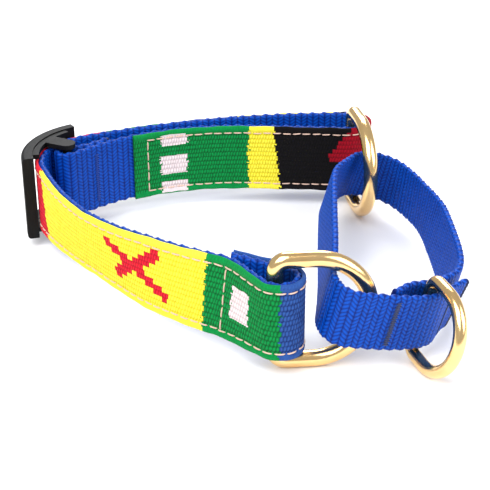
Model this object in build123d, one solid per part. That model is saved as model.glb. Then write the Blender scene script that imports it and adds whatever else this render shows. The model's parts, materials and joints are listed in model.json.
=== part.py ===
from build123d import *
import math
import os

# Martingale collar: 25 mm webbing strap faced with a woven ribbon, a tri-glide slider,
# two strap D-rings and a 19 mm control loop that carries the leash D-ring.
os.makedirs("parts", exist_ok=True)

# overall placement (mm): the origin is the bottom centre of the whole collar
origin_x = 3.92
origin_y = -14.99
strap_z = 18.6            # mid height of the main strap
ring_z = 19.0             # mid height of the two strap D-rings

# webbing and ribbon
strap_w = 25.0
ribbon_w = 24.8
loop_w = 19.0
webbing_t = 2.0
ribbon_t = 1.0
gap = 0.05                # air between layers that are sewn together
thread_t = 0.4
stitch_z = 9.9            # height of the edge stitch lines from mid strap
stitch_half = 0.3         # half the width of a line of stitches
stitch_start = 3.0        # edge stitching begins and stops this far inside the ribbon's ends
stitch_stop = 2.5
front_cross = -4.8        # cross stitches, from the end of the fold and from the ribbon's end
return_cross = -5.5

# bar tacks
tack_half = 0.8
anchor_back = 9.0         # from the slider's centre bar back along the return run
anchor_z = 9.0
loop_tack_t = 0.6
loop_tack_z = 7.2
loop_tack_left = 11.6     # after the loop's front bend
loop_tack_right = 10.2    # before its cut end

# strap D-rings: place and plan angle of the bar, then sizes
front_bar = (8.5, -42.9)
front_yaw = 5.6
back_bar = (39.4, 75.4)
back_yaw = -80.0
ring_wire = 5.0
ring_inner = 28.0
ring_straight = 11.5      # straight length of each arm before the round
ring_corner = 3.6

# leash D-ring, placed in the plane of the control loop
leash_bar = (25.9, -37.2)
leash_yaw = -68.0
leash_wire = 4.0
leash_inner = 20.6
leash_straight = 8.0
leash_corner = 3.0

# tri-glide slider, a curved plate around the bend of the strap
bend_r = 21.9             # radius of the webbing centre line through the slider
plate_clear = 0.75
plate_t = 4.0
slider_h = 30.0
slot_h = 26.0
end_bar_w = 5.0
rim_r = 1.2               # rounding of the plate's outer rims
rail_depth = 6.2
rail_inset = 9.0          # degrees in from each end of the plate
rail_trim = 0.4           # the rails stop this far short of the plate's edge
overlap = 0.5             # how far parts of the moulding run into each other
leg_w = 6.0               # legs that carry the centre bar
leg_short = 1.5
slider_from = 122.0
slider_to = 198.5
anchor_r = 3.6            # radius of the webbing centre line around the centre bar
bar_r = 1.5
tail_angle = 45.0         # the sewn tail closes on the return run at this angle
tail_r = 8.0
tail_go = 1.9

# folds around the D-ring bars, radii of the webbing centre line
fold_r = 5.4
back_fold_r = 7.5

# control loop plane leans to the right
loop_lean = 14.0
loop_x = 27.0
loop_z = 21.0


class Path:
    """Plan path of straight runs and tangent arcs, kept as (length, turn) moves."""

    def __init__(self, x, y, heading):
        self.start = (x, y, heading)
        self.x, self.y, self.h = x, y, heading
        self.moves = []

    def move(self, length, turn):
        self.moves.append((length, turn))
        self.x, self.y, self.h = step(self.x, self.y, self.h, length, turn)
        return self

    def go(self, length):
        return self.move(length, 0.0)

    def turn(self, radius, angle):
        return self.move(radius * math.radians(abs(angle)), angle)

    def arc_to(self, x, y):
        """Tangent arc to a point."""
        chord = math.hypot(x - self.x, y - self.y)
        aim = math.degrees(math.atan2(y - self.y, x - self.x)) - self.h
        half = (aim + 180.0) % 360.0 - 180.0
        length = chord
        if abs(half) > 1e-4:
            length = chord * math.radians(half) / math.sin(math.radians(half))
        return self.move(length, 2.0 * half)

    def to(self, x, y, heading):
        """Two tangent arcs to a point, arriving on a heading."""
        t0 = (math.cos(math.radians(self.h)), math.sin(math.radians(self.h)))
        t1 = (math.cos(math.radians(heading)), math.sin(math.radians(heading)))
        v = (x - self.x, y - self.y)
        vt = v[0] * (t0[0] + t1[0]) + v[1] * (t0[1] + t1[1])
        k = 2.0 * (1.0 - t0[0] * t1[0] - t0[1] * t1[1])
        vv = v[0] ** 2 + v[1] ** 2
        d = vv / (2.0 * vt)
        if k > 1e-6:
            d = (math.sqrt(vt * vt + k * vv) - vt) / k
        mx = (self.x + x + d * (t0[0] - t1[0])) / 2
        my = (self.y + y + d * (t0[1] - t1[1])) / 2
        return self.arc_to(mx, my).arc_to(x, y)

    def length(self):
        return sum(m[0] for m in self.moves)

    def span(self, s0, s1):
        """The stretch of this path between two distances along it."""
        x, y, h = self.start
        done = 0.0
        part = None
        for length, turn in self.moves:
            lo = max(s0, done)
            hi = min(s1, done + length)
            if hi - lo > 1e-6:
                if part is None:
                    k = (lo - done) / length
                    part = Path(*step(x, y, h, length * k, turn * k))
                part.move(hi - lo, turn * (hi - lo) / length)
            x, y, h = step(x, y, h, length, turn)
            done += length
        return part


def step(x, y, h, length, turn):
    if abs(turn) < 1e-6:
        a = math.radians(h)
        return x + length * math.cos(a), y + length * math.sin(a), h
    r = length / math.radians(turn)
    a = math.radians(h)
    b = math.radians(h + turn)
    return x + r * (math.sin(b) - math.sin(a)), y - r * (math.cos(b) - math.cos(a)), h + turn


def beside(x, y, h, off):
    """The point off mm to the left of a path point."""
    a = math.radians(h)
    return x - off * math.sin(a), y + off * math.cos(a)


def side(path, off):
    """Edges of the path moved sideways, each with its end points."""
    edges = []
    x, y, h = path.start
    for length, turn in path.moves:
        p0 = beside(x, y, h, off)
        pm = beside(*step(x, y, h, length / 2, turn / 2), off)
        x, y, h = step(x, y, h, length, turn)
        p1 = beside(x, y, h, off)
        if abs(turn) < 1e-6:
            edges.append(Edge.make_line(p0, p1))
        else:
            edges.append(Edge.make_three_point_arc(p0, pm, p1))
    return edges


def band(path, off0, off1, z0, z1):
    """Upright band of constant thickness that follows a path."""
    a = side(path, off0)
    b = side(path, off1)
    ends = [Edge.make_line(a[0] @ 0, b[0] @ 0), Edge.make_line(a[-1] @ 1, b[-1] @ 1)]
    face = Face(Wire(a + ends + b))
    if face.normal_at().Z < 0:
        face = -face
    return extrude(face.moved(Location((0, 0, z0))), z1 - z0, dir=(0, 0, 1))


def strap_path():
    """Fold-back end, front D-ring fold, front run, slider bend, back run, back D-ring fold,
    return run, wrap round the slider's centre bar, sewn tail."""
    p = Path(-4.6, -30.4, -23.0)
    p.go(18.0)
    p.turn(fold_r, -207.0)
    p.go(12.5)
    p.turn(23.0, 22.0)
    marks["front_run"] = p.length()
    p.to(-68.2, 34.3, 113.5)
    marks["bend_centre"] = beside(p.x, p.y, p.h, -bend_r)
    p.turn(bend_r, -87.5)
    p.to(37.0, 85.5, 0.0)
    p.turn(back_fold_r, -184.0)
    p.to(2.5, 72.6, 177.0)
    p.to(-40.8, 62.7, 210.0)
    marks["ribbon_end"] = p.length()
    p.to(-59.65, 47.35, 225.0)
    marks["return_run"] = p.length()
    marks["bar"] = beside(p.x, p.y, p.h, -anchor_r)
    p.turn(anchor_r, -180.0 - tail_angle)
    p.go(tail_go)
    p.turn(tail_r, tail_angle)
    p.turn(80.0, -5.5)
    return p


def loop_path():
    """Control loop in its own plane, from its inner end round to its outer cut end."""
    p = Path(14.0, -43.5, 40.0)
    p.to(21.6, -35.5, 30.0)
    p.to(30.7, -28.3, 46.0)
    p.to(37.6, -18.5, 72.0)
    p.to(39.9, 0.0, 90.0)
    p.to(35.2, 44.0, 109.0)
    p.to(20.0, 60.6, 180.0)
    p.to(3.6, 42.0, 247.0)
    p.to(0.7, 25.0, 266.0)
    p.to(-1.4, -12.0, 267.0)
    p.to(-3.6, -38.0, 263.0)
    p.to(4.0, -49.6, 372.0)
    marks["loop_front"] = p.length()
    p.to(26.7, -41.0, 394.0)
    p.to(34.8, -29.3, 418.0)
    p.to(38.0, -25.2, 408.0)
    return p


def d_ring(wire, inner, straight, corner):
    """D-ring in the XZ plane: upright bar at x = 0, the round towards +X."""
    r = (inner + wire) / 2
    half = r - corner
    k = corner * (1 - math.sqrt(0.5))
    top_bar = (0, 0, half)
    top_arm = (corner, 0, r)
    pts = {
        "tb": top_bar, "ta": top_arm, "tm": (k, 0, r - k),
        "te": (straight, 0, r), "end": (straight + r, 0, 0),
        "be": (straight, 0, -r), "ba": (corner, 0, -r), "bm": (k, 0, k - r), "bb": (0, 0, -half),
    }
    edges = [
        Edge.make_line((0, 0, 0), pts["tb"]),
        Edge.make_three_point_arc(pts["tb"], pts["tm"], pts["ta"]),
        Edge.make_line(pts["ta"], pts["te"]),
        Edge.make_three_point_arc(pts["te"], pts["end"], pts["be"]),
        Edge.make_line(pts["be"], pts["ba"]),
        Edge.make_three_point_arc(pts["ba"], pts["bm"], pts["bb"]),
        Edge.make_line(pts["bb"], (0, 0, 0)),
    ]
    section = Plane(origin=(0, 0, 0), z_dir=(0, 0, 1)) * Circle(wire / 2)
    return sweep(section, path=Wire(edges))


def sector(r0, r1, a0, a1, z0, z1):
    """Upright sector of a ring about the bend centre."""
    mid = math.radians((a0 + a1) / 2)
    a = math.radians(a0)
    b = math.radians(a1)

    def at(r, t):
        return (r * math.cos(t), r * math.sin(t))

    edges = [
        Edge.make_three_point_arc(at(r1, a), at(r1, mid), at(r1, b)),
        Edge.make_line(at(r1, b), at(r0, b)),
        Edge.make_three_point_arc(at(r0, b), at(r0, mid), at(r0, a)),
        Edge.make_line(at(r0, a), at(r1, a)),
    ]
    face = Face(Wire(edges))
    if face.normal_at().Z < 0:
        face = -face
    return extrude(face.moved(Location((0, 0, z0))), z1 - z0, dir=(0, 0, 1))


def slider():
    """Curved tri-glide: two end bars outside the strap, the centre bar inside it."""
    cx, cy = marks["bend_centre"]
    bx, by = marks["bar"]
    r0 = bend_r + webbing_t / 2 + gap + ribbon_t + plate_clear
    r1 = r0 + plate_t
    top = slider_h / 2
    slot = slot_h / 2
    bar_deg = math.degrees(end_bar_w / r1)
    body = sector(r0, r1, slider_from, slider_to, -top, top)
    rims = [e for e in body.edges() if e.geom_type == GeomType.CIRCLE and e.radius > (r0 + r1) / 2]
    body = fillet(rims, rim_r)
    body -= sector(r0 - 1, r1 + 1, slider_from + bar_deg, slider_to - bar_deg, -slot, slot)
    for s in (-1, 1):
        z = sorted((s * slot, s * (top - rail_trim)))
        body += sector(r1 - rail_depth, r0 + overlap, slider_from + rail_inset, slider_to - rail_inset,
                       z[0], z[1])
        dx, dy = bx - cx, by - cy
        out = math.hypot(dx, dy)
        polar = math.degrees(math.atan2(dy, dx))
        leg = Box(r1 - out - leg_short, leg_w, z[1] - z[0])
        leg = Pos((r1 + out - leg_short) / 2, 0, (z[0] + z[1]) / 2) * leg
        foot = Pos(out, 0, (z[0] + z[1]) / 2) * Cylinder(leg_w / 2, z[1] - z[0])
        body += Rot(0, 0, polar) * (leg + foot)
    body += Pos(bx - cx, by - cy, 0) * Cylinder(bar_r, slot_h + 2 * overlap)
    return Pos(cx, cy, 0) * body


def place(shape, z):
    return Pos(origin_x, origin_y, z) * shape


def place_loop(shape):
    return Location((origin_x + loop_x, origin_y, loop_z), (0, loop_lean, 0)) * shape


def save(name, shape):
    shape.label = name
    export_step(shape, "parts/" + name + ".step")
    box = shape.bounding_box()
    lo = tuple(round(v, 2) for v in (box.min.X, box.min.Y, box.min.Z))
    hi = tuple(round(v, 2) for v in (box.max.X, box.max.Y, box.max.Z))
    print(name, lo, hi, round(shape.volume, 2))
    return box


marks = {}
strap = strap_path()
loop = loop_path()
half_t = webbing_t / 2
face_off = half_t + gap + ribbon_t

# main strap and what is sewn on it
nodes = {}
nodes["main_webbing"] = place(band(strap, -half_t, half_t, -strap_w / 2, strap_w / 2), strap_z)
ribbon = strap.span(0.0, marks["ribbon_end"])
nodes["woven_ribbon"] = place(
    band(ribbon, half_t + gap, face_off, -ribbon_w / 2, ribbon_w / 2), strap_z)
sewn = strap.span(stitch_start, marks["ribbon_end"] - stitch_stop)
thread_in = face_off + gap
thread_out = thread_in + thread_t
for name, z in (("edge_stitch_upper", stitch_z), ("edge_stitch_lower", -stitch_z)):
    nodes[name] = place(band(sewn, thread_in, thread_out, z - stitch_half, z + stitch_half), strap_z)
cross_z = stitch_z - 2 * stitch_half
cross = {"front_cross_stitch": marks["front_run"] + front_cross,
         "return_cross_stitch": marks["ribbon_end"] + return_cross}
for name, s in cross.items():
    short = strap.span(s - stitch_half, s + stitch_half)
    nodes[name] = place(band(short, thread_in, thread_out, -cross_z, cross_z), strap_z)
s = marks["return_run"] - anchor_back
nodes["anchor_tack"] = place(
    band(strap.span(s - tack_half, s + tack_half), half_t + gap, half_t + gap + thread_t,
         -anchor_z, anchor_z), strap_z)

# tri-glide
nodes["slider"] = place(slider(), strap_z)

# D-rings on the main strap
ring = d_ring(ring_wire, ring_inner, ring_straight, ring_corner)
nodes["front_ring"] = place(Pos(front_bar[0], front_bar[1], 0) * Rot(0, 0, front_yaw) * ring, ring_z)
nodes["back_ring"] = place(Pos(back_bar[0], back_bar[1], 0) * Rot(0, 0, back_yaw) * ring, ring_z)

# control loop with its leash ring and bar tacks
nodes["control_loop"] = place_loop(band(loop, -half_t, half_t, -loop_w / 2, loop_w / 2))
leash = d_ring(leash_wire, leash_inner, leash_straight, leash_corner)
nodes["leash_ring"] = place_loop(Pos(leash_bar[0], leash_bar[1], 0) * Rot(0, 0, leash_yaw) * leash)
tacks = {"loop_tack_left": marks["loop_front"] + loop_tack_left,
         "loop_tack_right": loop.length() - loop_tack_right}
for name, s in tacks.items():
    nodes[name] = place_loop(
        band(loop.span(s - tack_half, s + tack_half), -half_t - gap - loop_tack_t, -half_t - gap,
             -loop_tack_z, loop_tack_z))

boxes = [save(name, shape) for name, shape in nodes.items()]
low = [min(getattr(b.min, k) for b in boxes) for k in "XYZ"]
high = [max(getattr(b.max, k) for b in boxes) for k in "XYZ"]
print("whole", [round(v, 2) for v in low], [round(v, 2) for v in high])
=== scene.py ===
# Martingale collar: webbing, woven ribbon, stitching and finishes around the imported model.
import json
import math
import bpy
import numpy as np
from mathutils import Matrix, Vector


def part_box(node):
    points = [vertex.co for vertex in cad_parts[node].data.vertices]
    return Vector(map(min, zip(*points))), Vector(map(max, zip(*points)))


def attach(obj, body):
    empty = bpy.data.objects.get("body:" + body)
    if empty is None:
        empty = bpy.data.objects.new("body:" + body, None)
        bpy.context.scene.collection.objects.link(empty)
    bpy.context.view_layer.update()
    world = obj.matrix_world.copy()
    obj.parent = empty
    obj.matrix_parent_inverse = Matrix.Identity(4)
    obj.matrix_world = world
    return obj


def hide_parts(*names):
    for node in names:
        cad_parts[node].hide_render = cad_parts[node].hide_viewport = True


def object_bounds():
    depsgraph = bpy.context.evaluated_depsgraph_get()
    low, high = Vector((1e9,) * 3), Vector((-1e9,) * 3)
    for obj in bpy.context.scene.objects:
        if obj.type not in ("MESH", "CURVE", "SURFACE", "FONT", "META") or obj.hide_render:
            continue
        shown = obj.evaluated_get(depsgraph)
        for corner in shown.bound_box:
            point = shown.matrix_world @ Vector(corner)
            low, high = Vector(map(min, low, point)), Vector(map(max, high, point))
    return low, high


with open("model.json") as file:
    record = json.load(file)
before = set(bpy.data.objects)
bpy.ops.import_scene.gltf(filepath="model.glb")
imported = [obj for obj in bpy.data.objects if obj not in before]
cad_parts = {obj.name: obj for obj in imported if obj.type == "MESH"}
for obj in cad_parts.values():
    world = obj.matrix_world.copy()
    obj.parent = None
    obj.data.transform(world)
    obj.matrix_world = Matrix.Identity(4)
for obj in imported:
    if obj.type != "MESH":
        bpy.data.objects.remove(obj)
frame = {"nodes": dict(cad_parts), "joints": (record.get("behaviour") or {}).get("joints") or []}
cad_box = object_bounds()
MM = 0.001
MICRON = 1e-6
TURN = 2 * math.pi
UP = np.array([0.0, 0.0, 1.0])

# camera
CAMERA_ASIDE = 3.92 * MM    # aim, from the middle of the collar
CAMERA_NEARER = -14.99 * MM
CAMERA_DOWN = 27.0          # degrees that it looks down
CAMERA_AWAY = 405.0 * MM
CAMERA_LENS = 93.3
CAMERA_SENSOR = 36.0
CAMERA_CLIP = 0.01

# light and floor
SKY_COLOUR = (0.92, 0.95, 1.0, 1.0)
SKY_STRENGTH = 0.55
LAMP_AIM = Vector((0.0, 0.0, 0.02))
LAMPS = (                   # name, place, side of the soft box, watts
    ("key", (-0.35, -0.55, 0.85), 0.80, 13.0),
    ("fill", (0.75, -0.35, 0.55), 0.70, 6.0),
    ("back", (0.05, 0.85, 0.70), 0.60, 9.0),
)
FLOOR_HALF = 3.0
FLOOR_GAP = 0.1 * MM        # the floor lies this far under the collar
PAPER = (0.93, 0.93, 0.93)

# webbing
STRAP_HALF = 12.5 * MM
LOOP_HALF = 9.5 * MM
WEB_HALF_T = 0.95 * MM
STRAP_RIB = 2.2 * MM        # one column of chain stitches across the webbing
LOOP_RIB = 1.8 * MM
CHAIN = 1.3 * MM            # one stitch of a column
CHAIN_SLANT = 1.05          # stitches by which a chain shifts over the width of its column
RIB_RISE = 0.24 * MM
RIB_ROUND = 2.6             # higher gives a flatter column with steeper sides
RIB_LEVEL = 0.75            # height on a column that lies level with the plain section
CHAIN_RISE = 0.20 * MM
CHAIN_ROUND = 0.8
CHAIN_LEVEL = 0.6
SELVEDGE = 1.7 * WEB_HALF_T  # width of the edge that scallops and ropes
SCALLOP = 0.50 * MM         # how far the selvedge draws in between two pairs of columns
ROPE = 0.22 * MM            # bumps of the selvedge
ROPE_SLANT = 0.45           # bumps by which they shift between the edge's middle and its face
STRAP_BURNT = 1.0 * MM      # length of the melted cut end
LOOP_BURNT = 1.2 * MM
BARE_PAST = 4.0 * MM        # from this far past the return stitch both faces of the strap are bare

# ribbon
RIBBON_HALF = 12.4 * MM
RIBBON_HALF_T = 0.5 * MM
RIBBON_RIB = 1.67 * MM      # one rib, which runs along the ribbon
RIDGE_ROUND = 0.5
PICK = 1.0 * MM             # one bump on a rib
PICK_RISE = 0.30 * MM
PICK_ROUND = 0.8
PICK_SLANT = 0.25           # bumps by which the weave shifts over one rib
VALLEY = 0.2                # height of a rib between two bumps
ROLL = 0.22 * MM            # puffed edge outside the stitching
ROLL_LINE = 0.05 * MM       # fine lines on the puffed edge
ROLL_PITCH = 0.8 * PICK
DRAWN = 0.20 * MM           # how far the stitching pulls the cloth down
DRAWN_REACH = 0.8 * MM      # the pull has faded to about a third this far from the stitching
TIE = 0.4                   # the pull swings this far either side of its mean over each stitch
BLEND = 0.25                # part of the puffed edge over which the weave gives way to it
PUFF_START = 0.4 * MM       # the puffed edge is drawn from this far outside the stitching
# the puffed edge is kept this close to the lit tone, out of most of the painted shade of the weave
PUFF_TONE = 0.75            # least brightness of the puffed edge
RAGGED = 1.3 * MM           # how far the edges of the colour blocks wander along the ribbon
EDGE = 1.2 * MM             # width of the edge that wobbles
WOBBLES = ((0.10 * MM, 2.9 * MM), (0.08 * MM, 1.3 * MM))  # size, and length over 2 pi
TUCK = 0.75 * MM            # how far it draws in behind the webbing on the outside of the back run
TUCK_RUN = (165 * MM, 185 * MM, 285 * MM, 302 * MM)  # it starts, is full, starts to fade, has gone

# sweeps: spacing of the rows, and points across the left and the right face
EDGE_POINTS = 5             # points on one half-round edge of a section
STRAP_ROWS = 0.44 * MM
LOOP_ROWS = 0.42 * MM
RIBBON_ROWS = 0.33 * MM
COVERED_FACES = (12, 72)    # strap with the ribbon over its left face
BARE_FACES = (60, 60)
LOOP_FACES = (54, 54)
RIBBON_FACES = (70, 6)

# stitching
STITCH = 3.6 * MM           # one stitch with its gap
STITCH_LONG = 3.0 * MM
STITCH_SHARE = 0.86         # part of its pitch that a cross stitch fills
STITCH_POINTS = 7
STITCH_INSET = (3.0 * MM, 2.5 * MM)  # the edge rows stop this far from the ribbon's start and end
THREAD = 0.24 * MM          # radius of the thread
THREAD_SIDES = 7
THREAD_TIP = 0.45           # radius at a stitch's ends, over the thread's
THREAD_SINK = 0.45 * THREAD  # height of a stitch's base over the ribbon's face
STITCH_RISE = 1.1           # height of a stitch's middle over its ends, in thread radii
STITCH_DIVE = 0.9           # depth of a stitch's ends, in thread radii
START_JITTER = 0.08 * MM    # uneven hand: spread of a stitch's start, slant and distance across
SLANT_JITTER = 0.12 * MM
ASIDE_JITTER = 0.06 * MM
CROSS_JITTER = 0.15 * MM    # spread of a cross stitch's slant
SEED = 7
TACK_THREAD = 0.8 * THREAD
TACK_SINK = 0.4 * THREAD    # height of a tack's thread over the webbing
TACK_WAVE = 0.3 * THREAD    # it rises and falls by this on each turn
TACK_POINTS = 6             # points on one turn of a tack
LOOP_TACK = (7.2 * MM, 1.8 * MM, 20)    # half its length, its width, turns
ANCHOR_TACK = (9.0 * MM, 1.6 * MM, 24)
ASKEW = np.array([0.31, 0.52, 0.80])    # a direction that no thread runs along

# centre lines
STEP = 0.1 * MM             # spacing of the points kept on a centre line
SMOOTH = 9                  # points that the smoothing takes in
FACE_LEVEL = 10 * MICRON    # a face this close under the top belongs to it
CORNER = 0.5                # cosine of a turn that counts as a corner

# how far the upper edge leans out to the left of the lower edge (mm), at distances (mm) from the start of
# the strap and of the ribbon, from the front cross stitch, from the start of the loop, and from the
# loop's cut end
FOLD_LEAN = [(0, 3.9), (10, 1.6), (18, 0)]
STRAP_LEAN = [(-16, 0), (-12, -0.8), (0, -3.9), (18, -1.8), (30, 0), (44, 3.8), (57, 5.1), (70, 3.6), (92, 0)]
LOOP_LEAN = [(80, 0), (96, 3.5), (108, 3.2), (120, 2.2), (140, 1.5), (160, 0)]
LOOP_END_LEAN = [(-13, 0), (0, -2.5)]
STRAP_WIDE = 25.0           # mm that each lean is measured over
LOOP_WIDE = 19.0

# each cloth colour as (between the bumps, on the bumps); on the webbing and the ribbon the first is painted
# shade in the hollows and the second a painted highlight on the bumps
BLUE = ((0.000, 0.004, 0.080), (0.000, 0.062, 0.430))
# painted highlight: the sheen that the fibres of the blue webbing are lifted towards
BLUE_FIBRE_HIGHLIGHT = (0.006, 0.140, 0.740)
BURNT = (0.002, 0.004, 0.030)
DENIM = ((0.002, 0.010, 0.080), (0.026, 0.086, 0.310))
GREEN = ((0.000, 0.050, 0.010), (0.000, 0.250, 0.050))
YELLOW = ((0.560, 0.420, 0.004), (0.860, 0.790, 0.060))
RED = ((0.300, 0.002, 0.012), (0.700, 0.012, 0.030))
DARK_RED = ((0.150, 0.000, 0.006), (0.330, 0.002, 0.012))
BLACK = ((0.000, 0.000, 0.000), (0.003, 0.002, 0.003))
WHITE = ((0.460, 0.360, 0.370), (0.800, 0.700, 0.700))
CREAM = ((0.52, 0.32, 0.24), (0.80, 0.58, 0.47))
NAVY = ((0.006, 0.012, 0.050), (0.035, 0.050, 0.130))
BRASS = ((0.90, 0.53, 0.20), (1.00, 0.74, 0.36))
ACETAL = ((0.002, 0.002, 0.002), (0.005, 0.005, 0.005))

# the ribbon's colours, in mm along it from the front cross stitch (STITCH_) or from its end (END_), and
# in mm across it from its middle
STITCH_BLOCKS = (           # where the block begins, slant of its first edge, colour
    (-22.4, 0.0, GREEN),
    (6.9, 0.0, YELLOW),
    (90.3, 0.17, RED),
    (140.0, 0.0, GREEN),
    (166.0, 0.0, DENIM),
    (190.0, 0.0, YELLOW),
    (228.0, 0.0, BLACK),
)
END_BLOCKS = (
    (-53.5, 0.13, YELLOW),
    (-43.1, 0.0, GREEN),
)
STITCH_BOXES = (            # white boxes: along from and to, across from and to
    (-10.9, -3.2, -4.6, 5.6),
    (148.0, 158.0, -5.5, 5.5),
)
END_BOXES = (
    (-20.3, -10.3, 6.6, 10.8),
    (-20.3, -10.3, -4.5, 2.7),
    (-20.3, -10.3, -11.7, -7.5),
)
CROSSES = (31.2, 209.0)     # middles of the red crosses, from the front cross stitch
CROSS_BARS = (              # along and across of one end, of the other end, half thickness
    (13.4, 5.8, -10.4, -5.6, 1.5),
    (10.2, -3.6, -6.0, 6.8, 1.9),
)
WEDGE_TIP = (-71.1, 0.7)    # dark red triangle, from the ribbon's end
WEDGE_FOOT = -106.0
WEDGE_SLOPES = (1.15, 0.35)  # above and below the tip


# ---------------------------------------------------------------- camera, light, floor

def new_object(name, data):
    """Object with this data, put in the scene."""
    obj = bpy.data.objects.new(name, data)
    bpy.context.scene.collection.objects.link(obj)
    return obj


def set_camera():
    """The camera stands in front of the collar and looks down on it."""
    low, high = cad_box
    strap_low, strap_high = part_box("main_webbing")
    aim = Vector(((low[0] + high[0]) / 2 + CAMERA_ASIDE,
                  (low[1] + high[1]) / 2 + CAMERA_NEARER,
                  (strap_low.z + strap_high.z) / 2))
    data = bpy.data.cameras.new("camera")
    data.lens = CAMERA_LENS
    data.sensor_width = CAMERA_SENSOR
    data.clip_start = CAMERA_CLIP
    camera = new_object("camera", data)
    tilt = math.radians(CAMERA_DOWN)
    camera.location = aim + Vector((0.0, -math.cos(tilt), math.sin(tilt))) * CAMERA_AWAY
    camera.rotation_euler = (math.pi / 2 - tilt, 0.0, 0.0)
    bpy.context.scene.camera = camera


def set_light():
    """Even pale sky and three soft boxes that face the collar, with plain colours."""
    world = bpy.data.worlds.new("studio")
    world.use_nodes = True
    sky = world.node_tree.nodes["Background"]
    sky.inputs["Color"].default_value = SKY_COLOUR
    sky.inputs["Strength"].default_value = SKY_STRENGTH
    bpy.context.scene.world = world
    bpy.context.scene.view_settings.view_transform = "Standard"
    for name, place, size, power in LAMPS:
        data = bpy.data.lights.new(name, "AREA")
        data.size = size
        data.energy = power
        lamp = new_object(name, data)
        lamp.location = place
        lamp.rotation_euler = (LAMP_AIM - Vector(place)).to_track_quat("-Z", "Y").to_euler()


def set_floor():
    """Square of matt paper under the collar."""
    corners = [(x * FLOOR_HALF, y * FLOOR_HALF, 0) for x, y in ((-1, -1), (1, -1), (1, 1), (-1, 1))]
    mesh = bpy.data.meshes.new("floor")
    mesh.from_pydata(corners, [], [(0, 1, 2, 3)])
    floor = new_object("floor", mesh)
    floor.location.z = cad_box[0][2] - FLOOR_GAP
    m = Shader("floor_paper")
    m.principled(PAPER, rough=0.9)
    mesh.materials.append(m.material)


# ---------------------------------------------------------------- shader helper

class Shader:
    """Builds a node material with short calls. Values are sockets or numbers."""

    def __init__(self, name):
        self.material = bpy.data.materials.new(name)
        self.material.use_nodes = True
        self.tree = self.material.node_tree
        self.tree.nodes.clear()
        self.out = self.tree.nodes.new("ShaderNodeOutputMaterial")

    def put(self, socket, value):
        if isinstance(value, bpy.types.NodeSocket):
            self.tree.links.new(value, socket)
        elif socket.type == "RGBA":
            socket.default_value = (*value, 1.0)
        else:
            socket.default_value = value

    def math(self, op, a, b=0.0, clamp=False):
        n = self.tree.nodes.new("ShaderNodeMath")
        n.operation = op
        n.use_clamp = clamp
        self.put(n.inputs[0], a)
        self.put(n.inputs[1], b)
        return n.outputs[0]

    def plus(self, a, b, clamp=False):
        return self.math("ADD", a, b, clamp)

    def minus(self, a, b):
        return self.math("SUBTRACT", a, b)

    def times(self, a, b):
        return self.math("MULTIPLY", a, b)

    def over(self, a, b):
        return self.math("DIVIDE", a, b)

    def size(self, a):
        return self.math("ABSOLUTE", a)

    def above(self, a, b):
        return self.math("GREATER_THAN", a, b)

    def below(self, a, b):
        return self.math("LESS_THAN", a, b)

    def affine(self, a, scale, offset, clamp=False):
        out = self.math("MULTIPLY_ADD", a, scale, clamp)
        out.node.inputs[2].default_value = offset
        return out

    def span(self, share, low, high, clamp=False):
        """Takes 0 to low and 1 to high."""
        return self.affine(share, high - low, low, clamp)

    def mix(self, factor, a, b):
        n = self.tree.nodes.new("ShaderNodeMix")
        n.data_type = "RGBA"
        self.put(n.inputs[0], factor)
        self.put(n.inputs[6], a)
        self.put(n.inputs[7], b)
        return n.outputs[2]

    def noise(self, vector, scale, detail):
        n = self.tree.nodes.new("ShaderNodeTexNoise")
        self.put(n.inputs["Vector"], vector)
        n.inputs["Scale"].default_value = scale
        n.inputs["Detail"].default_value = detail
        return n.outputs["Fac"]

    def stretched_noise(self, vector, scales, detail):
        """Noise with its own scale along each axis."""
        n = self.tree.nodes.new("ShaderNodeMapping")
        self.put(n.inputs["Vector"], vector)
        n.inputs["Scale"].default_value = scales
        return self.noise(n.outputs[0], 1.0, detail)

    def object_coords(self):
        return self.tree.nodes.new("ShaderNodeTexCoord").outputs["Object"]

    def uv(self):
        """The strap's coordinates, then distance along it and distance across it, in metres."""
        coords = self.tree.nodes.new("ShaderNodeUVMap")
        coords.uv_map = "strap"
        n = self.tree.nodes.new("ShaderNodeSeparateXYZ")
        self.put(n.inputs[0], coords.outputs[0])
        return coords.outputs[0], n.outputs[0], n.outputs[1]

    def bump(self, height, distance, strength):
        n = self.tree.nodes.new("ShaderNodeBump")
        self.put(n.inputs["Height"], height)
        n.inputs["Distance"].default_value = distance
        n.inputs["Strength"].default_value = strength
        return n.outputs[0]

    def principled(self, colour, rough, metal=0.0, normal=None, sheen=0.0, specular=0.5):
        n = self.tree.nodes.new("ShaderNodeBsdfPrincipled")
        self.put(n.inputs["Base Color"], colour)
        self.put(n.inputs["Roughness"], rough)
        n.inputs["Metallic"].default_value = metal
        n.inputs["Sheen Weight"].default_value = sheen
        n.inputs["Specular IOR Level"].default_value = specular
        if normal is not None:
            self.put(n.inputs["Normal"], normal)
        self.tree.links.new(n.outputs[0], self.out.inputs["Surface"])


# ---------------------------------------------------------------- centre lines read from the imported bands

def top_outline(node, up):
    """Corners of the outline of a packed band's top face, anticlockwise seen from above."""
    mesh = frame["nodes"][node].data
    corners = np.array([v.co for v in mesh.vertices], float)
    level = corners @ up
    least = level.max() - FACE_LEVEL
    edges = {}
    for poly in mesh.polygons:
        ids = list(poly.vertices)
        if min(level[i] for i in ids) < least:
            continue
        keys = [tuple(np.round(corners[i] / MICRON).astype(int)) for i in ids]
        for a, b in zip(keys, keys[1:] + keys[:1]):
            if (b, a) in edges:
                del edges[b, a]
            else:
                edges[a, b] = True
    after = dict(edges.keys())
    first = next(iter(after))
    ring = [first]
    while after[ring[-1]] != first:
        ring.append(after[ring[-1]])
    return np.array(ring, float) * MICRON


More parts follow.
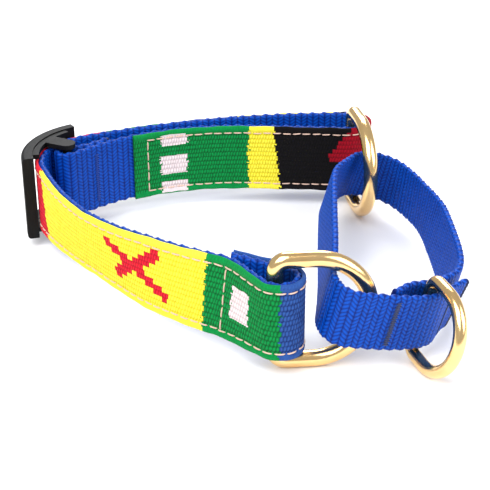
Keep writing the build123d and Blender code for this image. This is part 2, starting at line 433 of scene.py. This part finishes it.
def long_side(node, up):
    """The longer long side of a band's top face, with the strap on its left, and the band's thickness."""
    pts = top_outline(node, up)
    step = np.roll(pts, -1, 0) - pts
    length = np.linalg.norm(step, axis=1)
    unit = step / length[:, None]
    corner = np.einsum("ij,ij->i", unit, np.roll(unit, 1, 0)) < CORNER
    ends = [i for i in range(len(pts)) if corner[i] and corner[(i + 1) % len(pts)]]
    ends = sorted(ends, key=lambda i: length[i])[:2]
    a, b = sorted(ends)
    one = pts[a + 1:b + 1]
    two = np.concatenate([pts[b + 1:], pts[:a + 1]])
    longer = one if run(one)[-1] > run(two)[-1] else two
    return longer, float(np.mean(length[ends]))


def run(points):
    """Distance along a line at each of its points."""
    return np.concatenate([[0.0], np.cumsum(np.linalg.norm(np.diff(points, axis=0), axis=1))])


def smooth(pts, width):
    """Running mean that leaves the two ends where they are."""
    kernel = np.hanning(width + 2)[1:-1]
    kernel /= kernel.sum()
    half = width // 2
    head = 2 * pts[0] - pts[half:0:-1]
    tail = 2 * pts[-1] - pts[-2:-half - 2:-1]
    full = np.concatenate([head, pts, tail])
    return np.stack([np.convolve(full[:, k], kernel, "valid") for k in range(3)], 1)


def directions(pts):
    """Unit direction of travel at each point."""
    d = np.gradient(pts, axis=0)
    return d / np.linalg.norm(d, axis=1)[:, None]


def centre_points(node, up, first_near):
    """Points every STEP along the middle of a band, from the end that is nearer to a place."""
    side, thick = long_side(node, up)
    inward = thick / 2
    if np.linalg.norm(side[0] - first_near) > np.linalg.norm(side[-1] - first_near):
        side = side[::-1]
        inward = -inward
    s = run(side)
    even = np.linspace(0.0, s[-1], int(s[-1] / STEP))
    pts = smooth(np.stack([np.interp(even, s, side[:, k]) for k in range(3)], 1), SMOOTH)
    pts = pts + np.cross(up, directions(pts)) * inward
    return pts - np.outer(pts @ up, up)


class Line:
    """A strap's centre line with what is needed to place things on it."""

    def __init__(self, node, up, first_near):
        levels = np.array([v.co for v in frame["nodes"][node].data.vertices], float) @ up
        self.up = up
        self.middle = (levels.max() + levels.min()) / 2
        self.pts = centre_points(node, up, first_near)
        self.s = run(self.pts)
        self.left = np.cross(up, directions(self.pts))
        self.length = self.s[-1]

    def set_lean(self, lean, wide):
        """Takes (distance, lean) in mm, with each lean measured over a width in mm."""
        self.lean_at = [s * MM for s, _ in lean]
        self.lean = [tilt / wide for _, tilt in lean]

    def place(self, s, across, out):
        """Points at a distance along, across the width (up) and out to the left, with the lean."""
        p = np.stack([np.interp(s, self.s, self.pts[:, k]) for k in range(3)], -1)
        left = np.stack([np.interp(s, self.s, self.left[:, k]) for k in range(3)], -1)
        left /= np.linalg.norm(left, axis=-1, keepdims=True)
        across = np.broadcast_to(across, np.shape(s))
        out = out + across * np.interp(s, self.lean_at, self.lean)
        return p + self.up * self.middle + across[..., None] * self.up + left * out[..., None]

    def nearest(self, node):
        """Distance along the line to the place nearest to a CAD node's middle."""
        point = middle_of(node)
        flat = point - self.up * (point @ self.up)
        return self.s[np.argmin(np.linalg.norm(self.pts - flat, axis=1))]


def middle_of(node):
    low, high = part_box(node)
    return np.array((low + high) / 2)


def read_lines():
    """Centre lines of the strap, of the ribbon and of the control loop, with how they lean."""
    swing = next(j for j in frame["joints"] if j["name"] == "leash_ring_swing")
    loop_up = np.array(swing["axis"], float)
    loop_up /= np.linalg.norm(loop_up)
    strap = Line("main_webbing", UP, middle_of("front_ring"))
    ribbon = Line("woven_ribbon", UP, middle_of("front_ring"))
    loop = Line("control_loop", loop_up, middle_of("leash_ring"))
    for line in (strap, ribbon):
        cross = line.nearest("front_cross_stitch") / MM
        line.set_lean(FOLD_LEAN + [(cross + s, tilt) for s, tilt in STRAP_LEAN], STRAP_WIDE)
    end = loop.length / MM
    loop.set_lean(LOOP_LEAN + [(end + s, tilt) for s, tilt in LOOP_END_LEAN], LOOP_WIDE)
    return strap, ribbon, loop


# ---------------------------------------------------------------- strap meshes

def add_mesh(name, pieces):
    """One object from pieces of (vertices, quads, uv)."""
    verts = np.concatenate([p[0] for p in pieces])
    base = np.cumsum([0] + [len(p[0]) for p in pieces[:-1]])
    faces = np.concatenate([p[1] + b for p, b in zip(pieces, base)]).astype(np.int32)
    uv = np.concatenate([p[2] for p in pieces])
    mesh = bpy.data.meshes.new(name)
    mesh.vertices.add(len(verts))
    mesh.vertices.foreach_set("co", verts.astype(np.float32).ravel())
    mesh.loops.add(faces.size)
    mesh.loops.foreach_set("vertex_index", faces.ravel())
    mesh.polygons.add(len(faces))
    mesh.polygons.foreach_set("loop_start", np.arange(0, faces.size, 4, dtype=np.int32))
    mesh.polygons.foreach_set("loop_total", np.full(len(faces), 4, np.int32))
    mesh.polygons.foreach_set("use_smooth", np.ones(len(faces), bool))
    mesh.update(calc_edges=True)
    layer = mesh.uv_layers.new(name="strap")
    layer.data.foreach_set("uv", uv.astype(np.float32)[faces.ravel()].ravel())
    mesh.validate()
    return new_object(name, mesh)


def section(half_w, half_t, left, right):
    """Closed section of a strap with half-round edges: distances across and out, with the number of
    points on its left and on its right face."""
    reach = half_w - half_t
    turn = np.linspace(0, math.pi, EDGE_POINTS + 2)[1:-1]
    round_w = reach + half_t * np.sin(turn)
    round_out = half_t * np.cos(turn)
    across = [np.linspace(-reach, reach, left), round_w, np.linspace(reach, -reach, right), -round_w[::-1]]
    out = [np.full(left, half_t), round_out, np.full(right, -half_t), round_out[::-1]]
    return np.concatenate(across), np.concatenate(out)


def sweep(line, half_w, half_t, rows_apart, faces_points, relief, s_from, s_to):
    """Strap between two distances. relief(s, w, out) gives the moved w and the rise of each point."""
    left, right = faces_points
    rows = int((s_to - s_from) / rows_apart) + 1
    w0, out0 = section(half_w, half_t, left, right)
    cols = len(w0)
    s, w = np.meshgrid(np.linspace(s_from, s_to, rows), w0, indexing="ij")
    out = np.broadcast_to(out0, s.shape)
    moved, rise = relief(s, w, out)
    verts = line.place(s, moved, out + rise * out / half_t).reshape(-1, 3)
    i = np.arange(rows - 1)[:, None] * cols
    j = np.arange(cols)[None, :]
    k = (j + 1) % cols
    quads = np.stack([i + j, i + k, i + cols + k, i + cols + j], -1).reshape(-1, 4)
    last = (rows - 1) * cols
    quads = np.concatenate([quads, cap(0, left, cols)[:, ::-1], cap(last, left, cols)])
    return verts, quads, np.stack([s.ravel(), w.ravel()], 1)


def cap(base, left, cols):
    """Quads over an end, between the left face and the right face. The two runs of points share one point,
    and where one run is longer it is joined to some points of the other twice, so some quads have two
    equal corners. validate() in add_mesh drops those, so every end keeps gaps."""
    half = EDGE_POINTS // 2
    near = np.arange(-half, left + half) % cols
    far = np.arange(cols - half - 2, left, -1)
    n = max(len(near), len(far))
    a = near[np.round(np.linspace(0, len(near) - 1, n)).astype(int)]
    b = far[np.round(np.linspace(0, len(far) - 1, n)).astype(int)]
    return base + np.stack([a[:-1], a[1:], b[1:], b[:-1]], 1)


def wave(turns):
    """Cosine of a number of turns, moved to run from 0 to 1."""
    return 0.5 + 0.5 * np.cos(TURN * turns)


def webbing_relief(half_w, rib_wide):
    """Columns of chain stitches across the webbing that lean by turns, with a scalloped selvedge."""
    def relief(s, w, out):
        column = s / rib_wide
        local = column % 1.0 - 0.5
        side = np.where(np.floor(column) % 2 > 0.5, 1.0, -1.0)
        rib = 1 - np.abs(2 * local) ** RIB_ROUND
        stitch = wave(w / CHAIN + side * local * CHAIN_SLANT) ** CHAIN_ROUND
        on_face = np.clip(np.abs(out) / WEB_HALF_T, 0, 1)
        rise = ((rib - RIB_LEVEL) * RIB_RISE + (stitch - CHAIN_LEVEL) * CHAIN_RISE * rib) * on_face
        on_edge = np.clip((np.abs(w) - (half_w - SELVEDGE)) / SELVEDGE, 0, 1)
        rope = 1 - wave(column + ROPE_SLANT * out / WEB_HALF_T)
        drawn = on_edge * (SCALLOP * (1 - wave(column / 2)) + ROPE * rope)
        return w - np.sign(w) * drawn, rise - ROPE * on_edge * rope
    return relief


def ribbon_relief(stitch_w):
    """Plain weave: ribs along the ribbon, bumps on alternate ribs moved by half, puffed edges, and the
    cloth drawn down along the stitching."""
    def relief(s, w, out):
        rib = w / RIBBON_RIB
        odd = np.where(np.round(rib) % 2 > 0.5, 0.5, 0.0)
        ridge = np.abs(np.cos(math.pi * rib)) ** RIDGE_ROUND
        pick = s / PICK + odd + PICK_SLANT * (rib - np.round(rib))
        bump = np.abs(np.cos(math.pi * pick)) ** PICK_ROUND
        weave = (ridge * (VALLEY + (1 - VALLEY) * bump) - 0.5) * PICK_RISE
        beyond = np.clip((np.abs(w) - stitch_w) / (RIBBON_HALF - stitch_w), 0, 1)
        roll = np.sin(math.pi * beyond) * ROLL + ROLL_LINE * wave(s / ROLL_PITCH)
        near = np.exp(-((np.abs(w) - stitch_w) / DRAWN_REACH) ** 2)
        tie = 1 - TIE + TIE * np.cos(TURN * s / STITCH)
        blend = np.clip(beyond / BLEND, 0, 1)
        rise = weave * (1 - blend) + roll * blend - near * tie * DRAWN
        on_edge = np.clip((np.abs(w) - (RIBBON_HALF - EDGE)) / EDGE, 0, 1)
        (long_size, long_wave), (short_size, short_wave) = WOBBLES
        wobble = long_size * np.sin(s / long_wave) + short_size * np.sin(s / short_wave + np.sign(w))
        tuck = TUCK * np.interp(s, TUCK_RUN, (0, 1, 1, 0)) * w / RIBBON_HALF
        return w - np.sign(w) * on_edge * wobble - tuck, np.where(out > 0, rise, 0.0)
    return relief


# ---------------------------------------------------------------- thread

def thread_mesh(name, paths, radius):
    """Joins one closed tube for each path of points."""
    verts, faces, base = [], [], 0
    turn = np.arange(THREAD_SIDES) * TURN / THREAD_SIDES
    for pts in paths:
        travel = directions(pts)
        a = np.cross(travel, ASKEW)
        a /= np.linalg.norm(a, axis=1)[:, None]
        b = np.cross(travel, a)
        taper = np.ones(len(pts))
        taper[0] = taper[-1] = THREAD_TIP
        round_a = np.cos(turn)[None, :, None] * a[:, None, :]
        round_b = np.sin(turn)[None, :, None] * b[:, None, :]
        ring = pts[:, None, :] + radius * taper[:, None, None] * (round_a + round_b)
        verts += [ring.reshape(-1, 3), pts[[0, -1]]]
        last_row = base + (len(pts) - 1) * THREAD_SIDES
        for row in range(base, last_row, THREAD_SIDES):
            for j in range(THREAD_SIDES):
                k = (j + 1) % THREAD_SIDES
                faces.append((row + j, row + k, row + THREAD_SIDES + k, row + THREAD_SIDES + j))
        first_tip = last_row + THREAD_SIDES
        for j in range(THREAD_SIDES):
            k = (j + 1) % THREAD_SIDES
            faces.append((first_tip, base + k, base + j))
            faces.append((first_tip + 1, last_row + j, last_row + k))
        base = first_tip + 2
    mesh = bpy.data.meshes.new(name)
    mesh.from_pydata(np.concatenate(verts).tolist(), [], faces)
    mesh.polygons.foreach_set("use_smooth", np.ones(len(mesh.polygons), bool))
    return new_object(name, mesh)


def stitch_lift(share):
    """Height of a stitch over the cloth: it dives in at both ends."""
    return np.sin(share * math.pi) ** 0.5 * THREAD * STITCH_RISE - THREAD * STITCH_DIVE


def stitch_along(line, s0, s1, w, out, rng):
    """Separate stitches along a strap."""
    paths = []
    share = np.linspace(0, 1, STITCH_POINTS)
    for k in range(int((s1 - s0) / STITCH)):
        start = s0 + k * STITCH + rng.normal(0, START_JITTER)
        across = w + (share - 0.5) * rng.normal(0, SLANT_JITTER) + rng.normal(0, ASIDE_JITTER)
        paths.append(line.place(start + share * STITCH_LONG, across, out + stitch_lift(share)))
    return paths


def stitch_across(line, s, w0, w1, out, rng):
    """Separate stitches across a strap."""
    paths = []
    share = np.linspace(0, 1, STITCH_POINTS)
    count = int((w1 - w0) / STITCH)
    pitch = (w1 - w0) / count
    for k in range(count):
        across = w0 + k * pitch + share * pitch * STITCH_SHARE
        along = s + (share - 0.5) * rng.normal(0, CROSS_JITTER)
        paths.append(line.place(along, across, out + stitch_lift(share)))
    return paths


def zigzag(line, s, size, out):
    """One bar tack: close zigzag across a strap."""
    half_long, wide, turns = size
    share = np.linspace(0, 1, turns * TACK_POINTS + 1)
    phase = share * turns
    sway = np.abs((phase % 1.0) * 2 - 1) * 2 - 1
    lift = TACK_WAVE * np.cos(phase * TURN)
    return [line.place(s + sway * wide / 2, (share * 2 - 1) * half_long, out + lift)]


# ---------------------------------------------------------------- materials

def webbing_material(name, rib_wide, cut_end):
    """Chain stitches drawn as in webbing_relief: painted shade between the stitches and between the columns,
    and a painted highlight on the fibres.
    """
    m = Shader(name)
    vector, s, w = m.uv()
    column = m.over(s, rib_wide)
    local = m.minus(m.math("FRACT", column), 0.5)
    side = m.span(m.math("PINGPONG", m.math("FLOOR", column), 1.0), -1.0, 1.0)
    slant = m.times(m.times(side, local), CHAIN_SLANT)
    drift = m.span(m.noise(vector, scale=300.0, detail=2), -0.3, 0.3)
    stitch = m.plus(m.plus(m.over(w, CHAIN), slant), drift)
    stitch = m.affine(m.math("COSINE", m.times(stitch, TURN)), 0.5, 0.5)
    # painted shade: darker between the stitches of a column and in the groove between two columns
    groove = m.math("POWER", m.times(m.size(local), 2.0), 3.0)
    weave = m.span(m.math("POWER", stitch, 0.7), 0.26, 1.02)
    weave = m.times(weave, m.span(groove, 1.0, 0.05))
    fibre = m.stretched_noise(vector, scales=(9000, 1500, 1), detail=3)
    cloud = m.span(m.noise(vector, scale=260.0, detail=2), -0.10, 0.20)
    level = m.plus(weave, cloud, clamp=True)
    # painted highlight: noise on the fibres lifts the colour towards the blue fibre highlight, most on the
    # lit tops of the stitches
    shine = m.span(fibre, -0.70, 0.80, clamp=True)
    colour = m.mix(m.times(shine, level), m.mix(level, *BLUE), BLUE_FIBRE_HIGHLIGHT)
    colour = m.mix(m.above(s, cut_end), colour, BURNT)
    m.principled(colour, rough=0.50, normal=m.bump(fibre, 0.05 * MM, 0.7), specular=0.16)
    return m.material


class Pattern:
    """Blocks and motifs of colour, each with a shaded and a lit tone for painted shade and painted highlight,
    laid one over the other.
    """

    def __init__(self, m, first):
        self.m = m
        self.low, self.high = first

    def lay(self, mask, tones):
        self.low = self.m.mix(mask, self.low, tones[0])
        self.high = self.m.mix(mask, self.high, tones[1])


def ribbon_material(stitch_w, cross, end):
    """Blocks of colour along the ribbon with stepped motifs; every edge follows the ribs and bumps. Each
    block gets painted shade between the bumps and ribs and a painted highlight on them.
    """
    m = Shader("woven_ribbon_cloth")
    vector, s, w = m.uv()
    across = m.over(w, RIBBON_RIB)
    along = m.over(s, PICK)
    rib = m.math("ROUND", across)
    odd = m.times(m.math("PINGPONG", rib, 1.0), 0.5)
    pick = m.minus(m.math("ROUND", m.plus(along, odd)), odd)
    ragged = m.span(m.stretched_noise(vector, scales=(250, 700, 1), detail=2), -RAGGED, RAGGED)
    step_s = m.times(pick, PICK)
    step_w = m.times(rib, RIBBON_RIB)
    cloth = Pattern(m, DENIM)
    lay_blocks(cloth, m.plus(step_s, ragged), step_w, cross, end)
    lay_boxes(cloth, m.plus(step_s, ragged), m.plus(w, m.times(ragged, 0.4)), cross, end)
    lay_crosses(cloth, step_s, step_w, cross)
    lay_wedge(cloth, step_s, step_w, end)
    # painted shade between the bumps and between the ribs, painted highlight on them: weave chooses between
    # each block's shaded and lit tone
    skew = m.times(m.minus(across, rib), PICK_SLANT)
    drift = m.span(m.noise(vector, scale=380.0, detail=2), -0.55, 0.55)
    woven = m.plus(m.plus(along, odd), m.plus(skew, drift))
    bump = m.size(m.math("COSINE", m.times(woven, math.pi)))
    ridge = m.size(m.math("COSINE", m.times(across, math.pi)))
    weave = m.times(m.span(bump, 0.15, 1.0), m.math("POWER", ridge, 0.4))
    # the puffed edge is painted at least PUFF_TONE of the way to the lit tone, out of most of the weave's
    # painted shade
    puffed = m.above(m.size(w), stitch_w + PUFF_START)
    weave = m.math("MAXIMUM", weave, m.times(puffed, PUFF_TONE))
    fibre = m.stretched_noise(vector, scales=(2500, 9000, 1), detail=3)
    cloud = m.span(m.stretched_noise(vector, scales=(500, 900, 1), detail=2), -0.35, 0.35)
    level = m.plus(m.plus(weave, m.span(fibre, -0.30, 0.30)), cloud, clamp=True)
    normal = m.bump(m.plus(weave, m.times(fibre, 0.3)), 0.14 * MM, 0.8)
    m.principled(m.mix(level, cloth.low, cloth.high), rough=0.78, normal=normal, sheen=0.03, specular=0.12)
    return m.material


def lay_blocks(cloth, s, w, cross, end):
    for origin, blocks in ((cross, STITCH_BLOCKS), (end, END_BLOCKS)):
        for begin, slant, tones in blocks:
            first_edge = cloth.m.affine(w, slant, origin + begin * MM)
            cloth.lay(cloth.m.above(s, first_edge), tones)


def lay_boxes(cloth, s, w, cross, end):
    m = cloth.m
    for origin, boxes in ((cross, STITCH_BOXES), (end, END_BOXES)):
        for s0, s1, w0, w1 in boxes:
            in_s = m.times(m.above(s, origin + s0 * MM), m.below(s, origin + s1 * MM))
            in_w = m.times(m.above(w, w0 * MM), m.below(w, w1 * MM))
            cloth.lay(m.times(in_s, in_w), WHITE)


def lay_crosses(cloth, s, w, cross):
    for middle in CROSSES:
        for s0, w0, s1, w1, half in CROSS_BARS:
            a = (cross + (middle + s0) * MM, w0 * MM)
            b = (cross + (middle + s1) * MM, w1 * MM)
            cloth.lay(bar_mask(cloth.m, s, w, a, b, half * MM), RED)


def bar_mask(m, s, w, a, b, half):
    """Stepped bar between two (along, across) points."""
    ds, dw = b[0] - a[0], b[1] - a[1]
    square = ds * ds + dw * dw
    share = m.times(m.affine(s, 1.0, -a[0]), ds / square)
    share = m.plus(share, m.times(m.affine(w, 1.0, -a[1]), dw / square), clamp=True)
    off_s = m.minus(s, m.affine(share, ds, a[0]))
    off_w = m.minus(w, m.affine(share, dw, a[1]))
    return m.below(m.plus(m.times(off_s, off_s), m.times(off_w, off_w)), half * half)


def lay_wedge(cloth, s, w, end):
    """Stepped triangle from its tip back to its foot, with its own slope above and below the tip."""
    m = cloth.m
    tip_s, tip_w = end + WEDGE_TIP[0] * MM, WEDGE_TIP[1] * MM
    into = m.affine(s, -1.0, tip_s)
    upper = m.below(m.affine(w, 1.0, -tip_w), m.times(into, WEDGE_SLOPES[0]))
    lower = m.below(m.affine(w, -1.0, tip_w), m.times(into, WEDGE_SLOPES[1]))
    behind = m.above(s, end + WEDGE_FOOT * MM)
    cloth.lay(m.times(m.times(upper, lower), behind), DARK_RED)


def thread_material(name, tones):
    m = Shader(name)
    twist = m.noise(m.object_coords(), scale=5200.0, detail=2)
    m.principled(m.mix(twist, *tones), rough=0.55, normal=m.bump(twist, 0.04 * MM, 0.8), sheen=0.1,
                 specular=0.35)
    return m.material


def brass_material():
    m = Shader("polished_brass")
    coords = m.object_coords()
    cloud = m.noise(coords, scale=160.0, detail=3)
    rough = m.span(m.stretched_noise(coords, scales=(2600, 2600, 900), detail=2), 0.13, 0.23)
    m.principled(m.mix(cloud, *BRASS), rough, metal=1.0, normal=m.bump(cloud, 0.05 * MM, 0.25))
    return m.material


def plastic_material():
    m = Shader("black_acetal")
    coords = m.object_coords()
    grain = m.noise(coords, scale=2600.0, detail=2)
    cloud = m.noise(coords, scale=120.0, detail=2)
    m.principled(m.mix(cloud, *ACETAL), m.span(grain, 0.42, 0.60), normal=m.bump(grain, 0.03 * MM, 0.5),
                 specular=0.16)
    return m.material


# ---------------------------------------------------------------- the collar

def dress(obj, material, body, node):
    """Gives a new piece its material, puts it under its body, and hides the CAD node that it stands in for.
    """
    obj.data.materials.append(material)
    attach(obj, body)
    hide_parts(node)


def finish_nodes(nodes, material):
    """Puts a material on CAD nodes that stay as they are."""
    for node in nodes:
        for slot in frame["nodes"][node].material_slots:
            slot.material = material


def make_webbing(strap, loop):
    """The strap, bare on both faces past the ribbon's end, and the control loop."""
    bare = strap.nearest("return_cross_stitch") + BARE_PAST
    relief = webbing_relief(STRAP_HALF, STRAP_RIB)
    covered = sweep(strap, STRAP_HALF, WEB_HALF_T, STRAP_ROWS, COVERED_FACES, relief, 0.0, bare)
    tail = sweep(strap, STRAP_HALF, WEB_HALF_T, STRAP_ROWS, BARE_FACES, relief, bare, strap.length)
    material = webbing_material("blue_webbing_strap", STRAP_RIB, strap.length - STRAP_BURNT)
    dress(add_mesh("strap_webbing", [covered, tail]), material, "strap", "main_webbing")
    relief = webbing_relief(LOOP_HALF, LOOP_RIB)
    whole = sweep(loop, LOOP_HALF, WEB_HALF_T, LOOP_ROWS, LOOP_FACES, relief, 0.0, loop.length)
    material = webbing_material("blue_webbing_loop", LOOP_RIB, loop.length - LOOP_BURNT)
    dress(add_mesh("loop_webbing", [whole]), material, "control_loop", "control_loop")


def make_ribbon(ribbon, stitch_w):
    cloth = sweep(ribbon, RIBBON_HALF, RIBBON_HALF_T, RIBBON_ROWS, RIBBON_FACES, ribbon_relief(stitch_w),
                  0.0, ribbon.length)
    material = ribbon_material(stitch_w, ribbon.nearest("front_cross_stitch"), ribbon.length)
    dress(add_mesh("ribbon_cloth", [cloth]), material, "strap", "woven_ribbon")


def make_stitching(ribbon, stitch_w):
    """Two rows along the ribbon's edges and a row across it at each end."""
    rng = np.random.default_rng(SEED)
    face = RIBBON_HALF_T + THREAD_SINK
    cream = thread_material("cream_thread", CREAM)
    start, end = STITCH_INSET[0], ribbon.length - STITCH_INSET[1]
    for name, w in (("upper", stitch_w), ("lower", -stitch_w)):
        paths = stitch_along(ribbon, start, end, w, face, rng)
        obj = thread_mesh("stitching_" + name, paths, THREAD)
        dress(obj, cream, "strap", "edge_stitch_" + name)
    for name in ("front", "return"):
        node = name + "_cross_stitch"
        paths = stitch_across(ribbon, ribbon.nearest(node), -stitch_w, stitch_w, face, rng)
        dress(thread_mesh("cross_stitch_" + name, paths, THREAD), cream, "strap", node)


def make_tacks(strap, loop):
    """The control loop's two bar tacks, and the one that holds the slider's fold."""
    navy = thread_material("navy_thread", NAVY)
    blue = thread_material("blue_thread", BLUE)
    for node in ("loop_tack_left", "loop_tack_right"):
        path = zigzag(loop, loop.nearest(node), LOOP_TACK, -WEB_HALF_T - TACK_SINK)
        dress(thread_mesh("bar_" + node, path, TACK_THREAD), navy, "control_loop", node)
    path = zigzag(strap, strap.nearest("anchor_tack"), ANCHOR_TACK, WEB_HALF_T + TACK_SINK)
    dress(thread_mesh("bar_anchor_tack", path, TACK_THREAD), blue, "strap", "anchor_tack")


set_camera()
set_light()
set_floor()
strap, ribbon, loop = read_lines()
stitch_low, stitch_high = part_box("edge_stitch_upper")
stitch_w = (stitch_low.z + stitch_high.z) / 2 - ribbon.middle
make_webbing(strap, loop)
make_ribbon(ribbon, stitch_w)
make_stitching(ribbon, stitch_w)
make_tacks(strap, loop)
finish_nodes(("front_ring", "back_ring", "leash_ring"), brass_material())
finish_nodes(("slider",), plastic_material())
